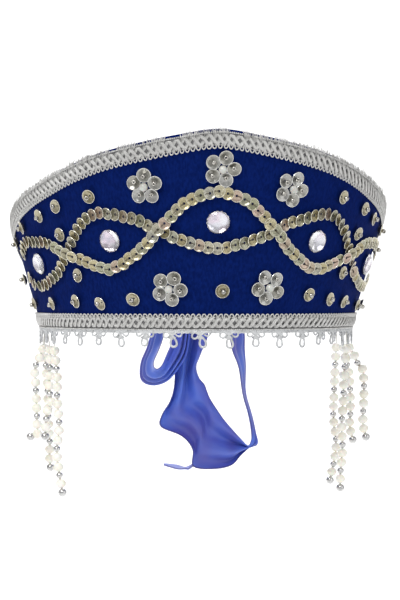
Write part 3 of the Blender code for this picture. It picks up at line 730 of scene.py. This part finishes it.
def build_lace(material):
    strip = Strip(lambda turn: 0.0, 0)
    length = strip.length
    repeats = round(length / LACE_REPEAT)
    repeat = length / repeats
    batch = Batch()

    def add_line(along, drop, out, radius, closed=False, tint=0.5):
        """Thread under the hem, by distance along it, depth below it and distance out."""
        turn = strip.place(along)[0]
        path = wall_point(turn, 0.0, SEAT_GAP)
        level = wall_point(turn, 0.0, SEAT_GAP + MM) - path
        level[:, 2] = 0
        level = unit(level)
        path += level * np.broadcast_to(out, turn.shape)[:, None]
        path[:, 2] = -SEAT_GAP - drop
        batch.add(tube(path, radius, level, 6, closed), tint=tint)

    heading = np.linspace(0, length, repeats * 24 + 1)
    for drop, out in LACE_HEADING:
        wave = 0.12 * MM * np.sin(heading / length * repeats * 2 * pi * 6)
        add_line(heading, drop * MM + wave, out * MM, HEADING_THREAD)
    for index in range(repeats):
        middle = (index + 0.5) * repeat + RNG.normal(0, 0.25) * MM
        swing = RNG.normal(0, 5)
        size = RNG.uniform(0.9, 1.04)
        for angle, start, width, height in TREFOIL:
            turn = radians(angle + swing)
            for inset in (0.0, 0.4) if angle else (0.0, 0.4, 0.8):
                loop = loop_path(width - inset * 1.3, height - inset, 0.45)
                loop[:, 1] += start + inset * 0.5
                across = loop[:, 0] * cos(turn) + loop[:, 1] * sin(turn)
                drop = (-loop[:, 0] * sin(turn) + loop[:, 1] * cos(turn)) * size
                if angle == 0:
                    drop = np.minimum(drop, LACE_DROP / MM + 0.35)
                out = 0.4 + 0.12 * np.sin(np.arange(len(across)) * 1.7 + inset * 4)
                add_line(middle + across * MM, (drop - LACE_RAISE) * MM, out * MM, LOOP_THREAD, True,
                         0.3 + 0.5 * inset)
        # Crossing threads of the solid middle
        for step in range(13):
            share = (step - 6) / 6
            start = np.array((share * 4.2, 0.1))
            end = np.array((-share * 1.9 + 0.3 * sin(step * 2.4), 4.8 - 0.9 * abs(share)))
            across, drop = (start + (end - start) * np.linspace(0, 1, 5)[:, None]).T
            add_line(middle + across * MM, (drop - LACE_RAISE) * MM, (0.3 + 0.25 * (step % 2)) * MM,
                     FILL_THREAD, tint=0.2 + 0.6 * (step % 2))
    batch.piece("lace_threads", material, "lace", ["hem_lace"])


# Sequin strings

def disc_shape():
    """Flat sequin that is slightly hollow, with a raised rim and a hole."""
    radius = STRING_SEQUIN_RADIUS
    top = ((1.0, 0.42), (0.97, 0.55), (0.88, 0.5), (0.8, 0.3), (0.5, 0.16), (0.27, 0.16), (0.21, 0.1))
    bottom = ((0.21, 0.0), (0.5, 0.02), (0.8, 0.16), (0.97, 0.36))
    rows = [(share * radius, height * MM) for share, height in bottom + top]
    return lathe(rows, 22, closed=True)


def whole_wave(half):
    mirrored = [(-turn, rise) for turn, rise in reversed(half[1:])]
    return np.array([(turn, rise * FRONT_RISE) for turn, rise in mirrored + list(half)])


def wave_crossings():
    places = []
    for turn in CROSSING_TURNS:
        rise = FRONT_RISE * (read_table(WAVE_A, turn) + read_table(WAVE_B, turn)) / 2
        places += [wall_point(turn, rise), wall_point(-turn, rise)]
    return places


def crossing_lift(point, crossings):
    nearest = min([np.linalg.norm(point - crossing) for crossing in crossings], default=CROSSING_REACH)
    share = min(max((CROSSING_REACH - nearest) / CROSSING_RAMP, 0), 1)
    return CROSSING_LIFT * share * share * (3 - 2 * share)


def build_string(name, node, half, crossings, inner_on_top, material, thread):
    line = smooth_points(whole_wave(half) / (1, MM), WAVE_STEPS) * (1, MM)
    places = wall_point(line[:, 0], line[:, 1])
    lengths = running_lengths(places)
    usable = lengths[-1] - 2 * STRING_SEQUIN_RADIUS
    count = round(usable / STRING_SEQUIN_PITCH)
    disc, rim = disc_shape(), rim_highlight_ring(STRING_SEQUIN_RADIUS, 0.52 * MM, 0.14 * MM)
    batch, stitches = Batch(), Batch()
    for index in range(count):
        distance = STRING_SEQUIN_RADIUS + usable * (index + 0.5) / count
        turn, rise = (float(np.interp(distance, lengths, column)) for column in line.T)
        behind, ahead = along_path(places, [distance - MM, distance + MM])
        along, up, out = wall_axes(turn, rise)
        direction = unit(ahead - behind)
        spin = np.degrees(np.arctan2(direction @ up, direction @ along))
        side = 1 if turn > 0 else -1
        steep = STRING_TILT + RNG.normal(0, 2.5)
        tilt = -0.5 * steep if abs(turn) > SIDE_TURN else side * steep * (-1 if inner_on_top else 1)
        lift = SEAT_GAP + 0.75 * MM + crossing_lift(wall_point(turn, rise), crossings)
        placement = (wall_frame(turn, rise, lift) @ turned("Z", spin) @ turned("Y", tilt)
                     @ turned("X", RNG.normal(0, 6)) @ moved(0, RNG.normal(0, 0.2) * MM, 0))
        batch.add(disc, placement, RNG.uniform(0, 0.8))
        # Rim ring in the lightest tint: a painted highlight on the sequin's edge
        batch.add(rim, placement, 1.0)
        path = np.array(((0.1, 0, 0.05), (0.6, 0.1, 0.36), (1.6, 0.15, 0.4), (2.6, 0.1, 0.3), (3.2, 0, 0)))
        path[:, 0] *= side if inner_on_top else -side
        path = path * MM @ placement[:3, :3].T + placement[:3, 3]
        stitches.add(tube(path, 0.2 * MM, out, 5))
    sharpen(batch.piece(name, material, "sequin", [node]), 50)
    stitches.piece(name + "_stitches", thread, "sequin")


# Cup sequins, seed beads, flowers and stones

def rim_highlight_ring(radius, height, thickness):
    """Thin round rim at a height. The sequins colour it in their lightest tint, a painted highlight on their
    edges.
    """
    angle = np.linspace(0, 2 * pi, 6, endpoint=False)
    rows = [(radius - thickness * 0.8 + thickness * cos(a), height + thickness * sin(a)) for a in angle]
    return lathe(rows, 24, closed=True)


def cup_shape(depth, radius=CUP_RADIUS):
    """Sequin pressed into a cup with flat sides, and a hole in its floor."""
    rows = ((0.13, 0.0), (0.40, 0.0), (0.74, 0.42), (0.97, 0.92), (1.0, 1.0), (0.97, 1.02), (0.9, 0.96),
            (0.68, 0.5), (0.36, 0.12), (0.13, 0.12))
    return lathe([(share * radius, height * depth) for share, height in rows], 16, closed=True)


def seed_shape(radius=SEED_RADIUS):
    """Seed bead: a fat ring round Z."""
    hole = 0.3 * radius
    tube_radius = (radius - hole) / 2
    rows = [(hole + tube_radius + tube_radius * cos(a), 0.8 * radius * sin(a))
            for a in np.linspace(0, 2 * pi, 10, endpoint=False)]
    return lathe(rows, 14, closed=True)


def build_single_sequins(material, metal):
    cup, seed = cup_shape(CUP_HEIGHT), seed_shape()
    rim = rim_highlight_ring(CUP_RADIUS, CUP_HEIGHT, 0.13 * MM)
    for node in sorted(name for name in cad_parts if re.fullmatch(r"sequin_\d+", name)):
        placement = wall_frame(*node_place(node), SEAT_GAP) @ turned("Z", RNG.uniform(0, 45))
        placement = placement @ turned("X", RNG.normal(0, 4)) @ turned("Y", RNG.normal(0, 4))
        batch, bead = Batch(), Batch()
        batch.add(cup, placement, RNG.uniform(0, 0.75))
        # Rim ring in the lightest tint: a painted highlight on the cup's edge
        batch.add(rim, placement, 1.0)
        sharpen(batch.piece("cup_" + node, material, "sequin", [node]), 35)
        placement = placement @ moved(RNG.normal(0, 0.25) * MM, RNG.normal(0, 0.25) * MM,
                                      1.7 * MM + SEED_RADIUS)
        placement = placement @ turned("X", RNG.normal(20, 25)) @ turned("Y", RNG.normal(0, 25))
        bead.add(seed, placement, RNG.uniform(0, 1))
        bead.piece("seed_" + node, metal, "sequin")


def build_flowers(material, metal, pearl):
    radius = CUP_RADIUS * 1.01
    cup, rim = cup_shape(PETAL_HEIGHT, radius), rim_highlight_ring(radius, PETAL_HEIGHT, 0.15 * MM)
    seed = seed_shape(SEED_RADIUS * 0.92)
    pearl_lift = moved(0, 0, 1.1 * MM + FLOWER_PEARL_RADIUS * 0.85)
    for name, spin in FLOWER_SPINS.items():
        node = "flower_" + name
        base = wall_frame(*node_place(node), SEAT_GAP) @ turned("Z", spin + 90)
        petals, beads = Batch(), Batch()
        for index in range(PETAL_COUNT):
            petal = base @ turned("Z", 360 / PETAL_COUNT * index) @ moved(PETAL_RING, 0, 0.35 * MM)
            petal = petal @ turned("X", 7 + RNG.normal(0, 2)) @ turned("Y", RNG.normal(2, 2))
            petals.add(cup, petal, RNG.uniform(0, 0.75))
            # Rim ring in the lightest tint: a painted highlight on the petal's edge
            petals.add(rim, petal, 1.0)
            shift = moved(RNG.normal(-0.3, 0.3) * MM, RNG.normal(0, 0.3) * MM, 0.3 * MM + SEED_RADIUS)
            beads.add(seed, petal @ shift @ turned("X", RNG.normal(0, 35)), RNG.uniform(0, 1))
        sharpen(petals.piece(node + "_petals", material, "sequin", [node]), 35)
        beads.piece(node + "_seeds", metal, "sequin")
        middle = placed(ball(FLOWER_PEARL_RADIUS, 20, 12), base @ pearl_lift)
        one_piece(middle, node + "_pearl", pearl, "pearl")


def stone_shape(rows):
    """Faceted shape whose rows are a share of the radius, a height in mm and half steps of turn."""
    return lathe([(share * STONE_RADIUS, height * MM, turn) for share, height, turn in rows], STONE_FACETS)


def build_stones(glass, foil_and_reflection):
    gem = stone_shape(((0, 0.5, 0), (0.45, 0.62, 0), (0.9, 0.9, 1), (0.99, 1.25, 1), (0.99, 1.55, 1),
                       (0.76, 2.55, 2), (0.5, 3.15, 3), (0, 3.15, 3)))
    cup = stone_shape(((0, 0.02, 0), (0.97, 0.02, 0), (1, 0.5, 0), (1, 1.15, 0), (0.965, 1.15, 0),
                       (0.88, 0.78, 1), (0.45, 0.4, 0), (0, 0.25, 0)))
    for node in sorted(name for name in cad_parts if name.startswith("stone_")):
        placement = wall_frame(*node_place(node), SEAT_GAP) @ turned("Z", RNG.uniform(0, 22))
        one_piece(placed(gem, placement), node + "_crystal", glass, "stone", [node], flat=True)
        # Foil cup behind the stone: silver, with a painted pink reflection in its colour
        one_piece(placed(cup, placement), node + "_foil", foil_and_reflection, "stone", flat=True)


# Pearl strands

def build_strand(name, turn, count, bends, pearl, silver, thread):
    length = STRAND_THREAD + BEAD_PITCH * count
    top = wall_point(turn, -WALL / 2 * tan(FLARE), -WALL / 2)
    top[2] = -SEAT_GAP
    outward = 1 if turn > 0 else -1
    shares = [(outward * lean / 1000, 0, -drop / 1000) for drop, lean in ((0, 0), *bends)]
    route = smooth_points(shares, STRAND_STEPS)
    route = top + route * length / running_lengths(route)[-1]
    pearls, metal, cord = Batch(), Batch(), Batch()
    radii = [SILVER_RADIUS if index % 3 == 2 else PEARL_RADIUS for index in range(count - 2)]
    radii = np.array(radii + [PEARL_RADIUS, END_BALL_RADIUS])
    places = np.cumsum(radii) - radii / 2
    places = STRAND_THREAD + places * BEAD_PITCH * count / radii.sum()
    for radius, distance in zip(radii, places):
        middle, ahead = along_path(route, [distance, distance + 0.5 * MM])
        axes = np.array(Vector(ahead - middle).to_track_quat("Z", "Y").to_matrix().to_4x4())
        placement = moved(*middle) @ axes @ turned("Z", RNG.uniform(0, 90)) @ turned("X", RNG.normal(0, 3))
        squash = 0.94 if radius == PEARL_RADIUS else 0.97
        rows = [(radius * sin(a), -radius * squash * cos(a)) for a in np.linspace(0.16, pi - 0.16, 11)]
        rows = [(BEAD_HOLE, -0.6 * radius)] + rows + [(BEAD_HOLE, 0.6 * radius)]
        shape = lathe(rows, 20, closed=True)
        (pearls if radius == PEARL_RADIUS else metal).add(shape, placement, RNG.uniform(0, 1))
    for shift in (-1, 1):
        side = route + (CORD_SHIFT * shift, CORD_SHIFT, 0)
        cord.add(tube(side, CORD_RADIUS, (0, 1, 0), 5))
    sharpen(pearls.piece("pearls_" + name, pearl, "pearl", ["pearl_strand_" + name]), 50)
    sharpen(metal.piece("silver_beads_" + name, silver, "pearl"), 50)
    cord.piece("strand_thread_" + name, thread, "pearl")


# Ribbon

def ribbon_grid(edges, folds, edge_on_share=0.3, least_width=0.0, crowding=1.0, wall_rows=0):
    """Middle surface of a ribbon between two edges, with the spare width taken up in folds.

    The folds are full where the ribbon faces the viewer or lies behind the band, and a share of that
    where it is seen on its edge. There its back edge lies far enough back for the least width.
    Crowding above 1 moves the folds towards the back edge. In the first rows, which lie against the
    band's inner face, the folds are shallow and stand inwards alone.
    """
    firsts, seconds = edges[:, :3], edges[:, 3:].copy()

    def face_normal():
        return unit(np.cross(unit(np.gradient((firsts + seconds) / 2, axis=0)), seconds - firsts))

    across = np.linspace(0, 1, 49)
    sideways = np.abs(face_normal()[:, 0])
    spot = np.arange(len(firsts))
    share = np.clip(2 * sideways - 0.6, 0, 1) * np.clip(np.minimum(spot, spot[::-1]) / 5, 0, 1)
    flat = np.sum((seconds - firsts)[:, ::2] ** 2, axis=1)
    depth = np.sqrt(np.maximum((least_width * RIBBON_WIDTH) ** 2 - flat, 0))
    seconds[:, 1] += np.maximum(depth - (seconds - firsts)[:, 1], 0) * share
    spans = np.linalg.norm(seconds - firsts, axis=1)
    middle = (firsts + seconds) / 2
    normal = face_normal()
    for index in range(1, len(normal)):
        if normal[index] @ normal[index - 1] < 0:
            normal[index] *= -1
    spare = np.clip(RIBBON_WIDTH / spans - 1, 0, 4)
    depth = np.minimum(spans * 2 / (folds * pi) * np.sqrt(spare), 4.5 * MM)
    hidden = np.clip((middle[:, 2] / RIBBON_WIDTH + 0.5) * 4, 0, 1)
    depth *= np.maximum(edge_on_share + (1 - edge_on_share) * np.abs(normal[:, 1]), hidden)
    beside = np.clip((wall_rows - spot) / 5, 0, 1)
    depth = np.minimum(depth, (2.2 + 3 * (1 - beside)) * MM)
    inward = -np.sign(normal[0, :2] @ middle[0, :2])
    points = []
    for index in range(len(firsts)):
        drift = 0.35 * sin(index * 0.11)
        shape = np.sin(folds * pi * across ** crowding + drift * np.sin(pi * across))
        shape = shape + inward * beside[index]
        line = firsts[index] + (seconds[index] - firsts[index]) * across[:, None]
        points.append(line + normal[index] * (shape * depth[index])[:, None])
    return np.array(points)


def add_cloth_map(piece, across, along):
    """Map of the cloth: a share across it and metres along it, for each point of the mesh."""
    loops = np.zeros(len(piece.data.loops), int)
    piece.data.loops.foreach_get("vertex_index", loops)
    layer = piece.data.uv_layers.new(name="cloth")
    layer.data.foreach_set("uv", np.stack((across[loops], along[loops]), -1).ravel())


def ribbon_piece(name, node, edges, material, rests_on, folds, **folding):
    points = ribbon_grid(smooth_points(edges, 5), folds, **folding)
    rows, columns = points.shape[:2]
    normal = unit(np.cross(np.gradient(points, axis=0), np.gradient(points, axis=1)))
    front = points + normal * RIBBON_CLOTH / 2
    back = points - normal * RIBBON_CLOTH / 2
    size = 2 * columns
    batch = Batch()
    batch.add(grid(np.concatenate((front, back[:, ::-1]), 1), closed_columns=True))
    caps = []
    for row in (0, rows - 1):
        start = row * size
        for spot in range(columns - 1):
            quad = [start + spot, start + spot + 1, start + size - 2 - spot, start + size - 1 - spot]
            caps.append(quad if row else quad[::-1])
    batch.quads.append(np.array(caps))
    piece = batch.piece(name, material, "satin", [node])
    share = np.linspace(0, 1, columns)
    lengths = running_lengths(points[:, columns // 2])
    add_cloth_map(piece, np.tile(np.concatenate((share, share[::-1])), rows), np.repeat(lengths, size))
    sharpen(piece, 60)


def bow_edges(table):
    back = (0, HEM_HALF_DEPTH, 0)
    return np.array(table) / 100 * RIBBON_WIDTH + (back + back)


def tie_edges(side):
    inward = WALL + SEAT_GAP + 0.5 * MM
    rows = []
    for turn, middle, half, depth in TIES:
        rises = (middle + half * np.array((-1, 1))) * RIBBON_WIDTH
        rows.append(wall_point(side * turn, rises, -inward * depth).ravel())
    return rows


def build_knot(material):
    """Wrapped knot: a soft barrel with folds that run round it."""
    middle = np.array((KNOT_ACROSS * RIBBON_WIDTH, HEM_HALF_DEPTH, KNOT_UP * RIBBON_WIDTH))
    half = np.array((KNOT_HALF_WIDTH, KNOT_HALF_DEPTH, KNOT_HALF_HEIGHT)) * RIBBON_WIDTH
    angle = np.linspace(0, 2 * pi, 48, endpoint=False)
    rows = []
    for along in np.linspace(-1, 1, 25):
        size = (1 - 0.32 * abs(along) ** 4) * (1 + 0.045 * np.cos(9 * along + 1.5 * np.sin(angle)))
        ring = (along * np.ones_like(angle), size * np.cos(angle), size * np.sin(angle))
        rows.append(middle + half * np.stack(ring, -1))
    rows = np.array(rows)
    piece = one_piece(grid(rows, closed_columns=True), "knot_satin", material, "satin", ["bow_knot"])
    close_ends(piece, rows)
    spots = rows.reshape(-1, 3)
    add_cloth_map(piece, 0.5 + 0.46 * (spots[:, 0] - middle[0]) / half[0], spots[:, 2])


# Studio

def add_area_light(name, place, target, size, power):
    light = bpy.data.lights.new(name, "AREA")
    light.shape = "DISK"
    light.size = size
    light.energy = power
    lamp = add_object(name, light)
    lamp.location = place
    lamp.visible_camera = False
    lamp.rotation_mode = "QUATERNION"
    lamp.rotation_quaternion = (Vector(target) - Vector(place)).to_track_quat("-Z", "Y")


def stage_shape():
    """Pale floor that curves up into a wall: flat and near behind the object, low and far elsewhere."""
    columns = []
    for angle in np.linspace(0, 2 * pi, 160, endpoint=False):
        behind = sin(angle)
        reach = STAGE_REACH if behind < BACKDROP_REACH / STAGE_REACH else BACKDROP_REACH / behind
        top = STAGE_TOP + (BACKDROP_TOP - STAGE_TOP) * min(max(3 * behind, 0), 1)
        share = reach / BACKDROP_REACH
        profile = [(BACKDROP_REACH / 4, STAGE_FLOOR)]
        for bend in np.linspace(0, pi / 2, 14):
            profile.append((share * (BACKDROP_REACH - STAGE_BEND + STAGE_BEND * sin(bend)),
                            STAGE_FLOOR + STAGE_BEND * (1 - cos(bend))))
        profile.append((reach, top))
        columns.append([(out * cos(angle), out * sin(angle), height) for out, height in profile])
    points, quads, _ = grid(np.array(columns), closed_rows=True)
    starts = np.arange(len(columns)) * len(columns[0])
    middle = np.full_like(starts, len(points))
    tris = np.stack((middle, starts, np.roll(starts, -1)), -1)
    return np.vstack((points, (0, 0, STAGE_FLOOR))), quads, tris


def build_studio():
    """Stage, soft lights, and the camera."""
    scene = bpy.context.scene
    scene.view_settings.view_transform = "Standard"
    world = Nodes("studio", "worlds", "Background", Strength=0.6)
    height = world.node("SeparateXYZ")
    world.link(world.node("TexCoord").outputs["Generated"], height.inputs["Vector"])
    sky = world.ramp(height.outputs["Z"], (0.05, (0.16, 0.16, 0.17)), (0.75, (1, 1, 1)))
    world.link(sky, world.shader.inputs["Color"])
    scene.world = world.owner

    points, quads, tris = stage_shape()
    mesh = bpy.data.meshes.new("floor_and_backdrop")
    mesh.from_pydata(points.tolist(), [], quads.tolist() + tris.tolist())
    mesh.shade_smooth()
    grey = ((0.3, (0.93, 0.93, 0.93)), (0.7, (0.95, 0.95, 0.95)))
    mesh.materials.append(noise_material("stage", (3, 2), grey, Roughness=0.9, Specular_IOR_Level=0.1))
    stage = add_object("floor_and_backdrop", mesh)

    add_area_light("key", (-0.7, -1.3, 1.2), (0, 0, 0.03), 1.0, 19)
    add_area_light("fill", (1.3, -1.2, 0.5), (0, 0, 0.03), 1.4, 5.2)
    add_area_light("back", (0.2, 1.4, 1.4), (0, 0, 0.02), 1.2, 9)
    add_area_light("backdrop", (0, 0.9, 1.5), (0, 2.6, 0.1), 1.6, 36)

    camera = add_object("camera", bpy.data.cameras.new("camera"))
    camera.data.sensor_width = 36
    camera.data.lens = CAMERA_LENS
    back = Vector((sin(CAMERA_AZIMUTH), -cos(CAMERA_AZIMUTH), 0))
    right = Vector((cos(CAMERA_AZIMUTH), sin(CAMERA_AZIMUTH), 0))
    camera.location = back * CAMERA_DISTANCE + right * CAMERA_RIGHT + Vector((0, 0, CAMERA_HEIGHT))
    camera.rotation_mode = "QUATERNION"
    camera.rotation_quaternion = (-back).to_track_quat("-Z", "Y")
    camera.data.clip_start = 0.01
    camera.data.clip_end = 20
    scene.camera = camera


def main():
    build_studio()
    braid = thread_material("braid_thread", (0.22, 0.215, 0.21), (0.66, 0.655, 0.64), 0.5, 0.38)
    # Dark greys of the strip under the braid: painted shade for the gaps between its threads
    gap_shade = thread_material("braid_backing", (0.07, 0.07, 0.07), (0.22, 0.22, 0.22), 0.3, 0.55)
    lace = thread_material("lace_thread", (0.26, 0.27, 0.28), (0.64, 0.65, 0.66), 0.3, 0.4)
    stitch = thread_material("sequin_thread", (0.025, 0.02, 0.015), (0.12, 0.10, 0.07), 0.0, 0.5)
    nylon = thread_material("nylon_thread", (0.35, 0.34, 0.3), (0.7, 0.69, 0.64), 0.0, 0.35)
    # The stop at tint 1 of each sequin material colours the rim rings: a painted highlight on the edges. The
    # lower stops are the sequins' own tones, picked at random
    champagne = sequin_material("string_sequin", 0.24, 0.7, (0.0, (0.37, 0.32, 0.19)),
                                (0.2, (0.50, 0.44, 0.26)), (0.4, (0.40, 0.39, 0.33)),
                                (0.6, (0.34, 0.34, 0.22)), (0.8, (0.52, 0.39, 0.32)),
                                (1.0, (0.90, 0.87, 0.74)))
    olive = sequin_material("cup_sequin", 0.2, 0.75, (0.0, (0.38, 0.34, 0.22)), (0.4, (0.48, 0.44, 0.32)),
                            (0.8, (0.42, 0.38, 0.28)), (1.0, (0.88, 0.86, 0.78)))
    smoke = sequin_material("petal_sequin", 0.18, 0.7, (0.0, (0.34, 0.33, 0.29)), (0.4, (0.44, 0.44, 0.42)),
                            (0.8, (0.38, 0.37, 0.36)), (1.0, (0.90, 0.90, 0.88)))
    pearl = pearl_material("pearl", (0.89, 0.85, 0.72), (0.98, 0.97, 0.91))
    flower_pearl = pearl_material("flower_pearl", (0.44, 0.44, 0.41), (0.66, 0.66, 0.62))
    silver = bead_metal("silver_bead", (0.5, 0.5, 0.5), (0.78, 0.77, 0.76), 0.12, 0.28)
    steel = bead_metal("steel_bead", (0.42, 0.41, 0.38), (0.60, 0.58, 0.54), 0.08, 0.2)
    glass = noise_material("stone_glass", (200, 2), ((0.3, (0.95, 0.94, 0.98)), (0.7, (1, 1, 1))),
                           (900, 0.01, 0.05), Transmission_Weight=1.0, IOR=1.52)
    # The grey stops are the foil's own silver; the pink stop is a painted pink reflection
    foil_and_pink_reflection_stops = (0.38, (0.50, 0.50, 0.57)), (0.48, (0.82, 0.72, 0.78)), (0.6, (0.84, 0.85, 0.88))
    foil_and_reflection = noise_material("stone_foil", (150, 1), foil_and_pink_reflection_stops, (700, 0.04, 0.14), Metallic=1.0)
    satin = satin_material()

    build_crown(crepe_material())
    build_braid("top", lambda turn: rim_rise(turn) - RIM_MARGIN - BRAID_WIDTH, True, braid, gap_shade)
    build_braid("hem", lambda turn: SEAT_GAP, False, braid, gap_shade)
    build_lace(lace)
    build_string("sequin_string_a", "sequin_wave_a", WAVE_A, wave_crossings(), True, champagne, stitch)
    build_string("sequin_string_b", "sequin_wave_b", WAVE_B, (), False, champagne, stitch)
    build_single_sequins(olive, steel)
    build_flowers(smoke, steel, flower_pearl)
    build_stones(glass, foil_and_reflection)
    for name, (turn, count, bends) in STRANDS.items():
        build_strand(name, turn, count, bends, pearl, silver, nylon)
    build_knot(satin)
    ribbon_piece("loop_right_satin", "bow_loop_right", bow_edges(BOW_LOOP_RIGHT), satin, ["knot_satin"], 4,
                 edge_on_share=0.15)
    ribbon_piece("loop_left_satin", "bow_loop_left", bow_edges(BOW_LOOP_LEFT), satin, ["knot_satin"], 6,
                 edge_on_share=0.5, least_width=0.86, crowding=1.9)
    ribbon_piece("tail_satin", "ribbon_tail", bow_edges(RIBBON_TAIL), satin, ["knot_satin"], 6)
    for side, name in ((-1, "tie_left"), (1, "tie_right")):
        ribbon_piece(name + "_satin", name, tie_edges(side), satin, ["crown_cloth", "knot_satin"], 3,
                     wall_rows=13)


main()
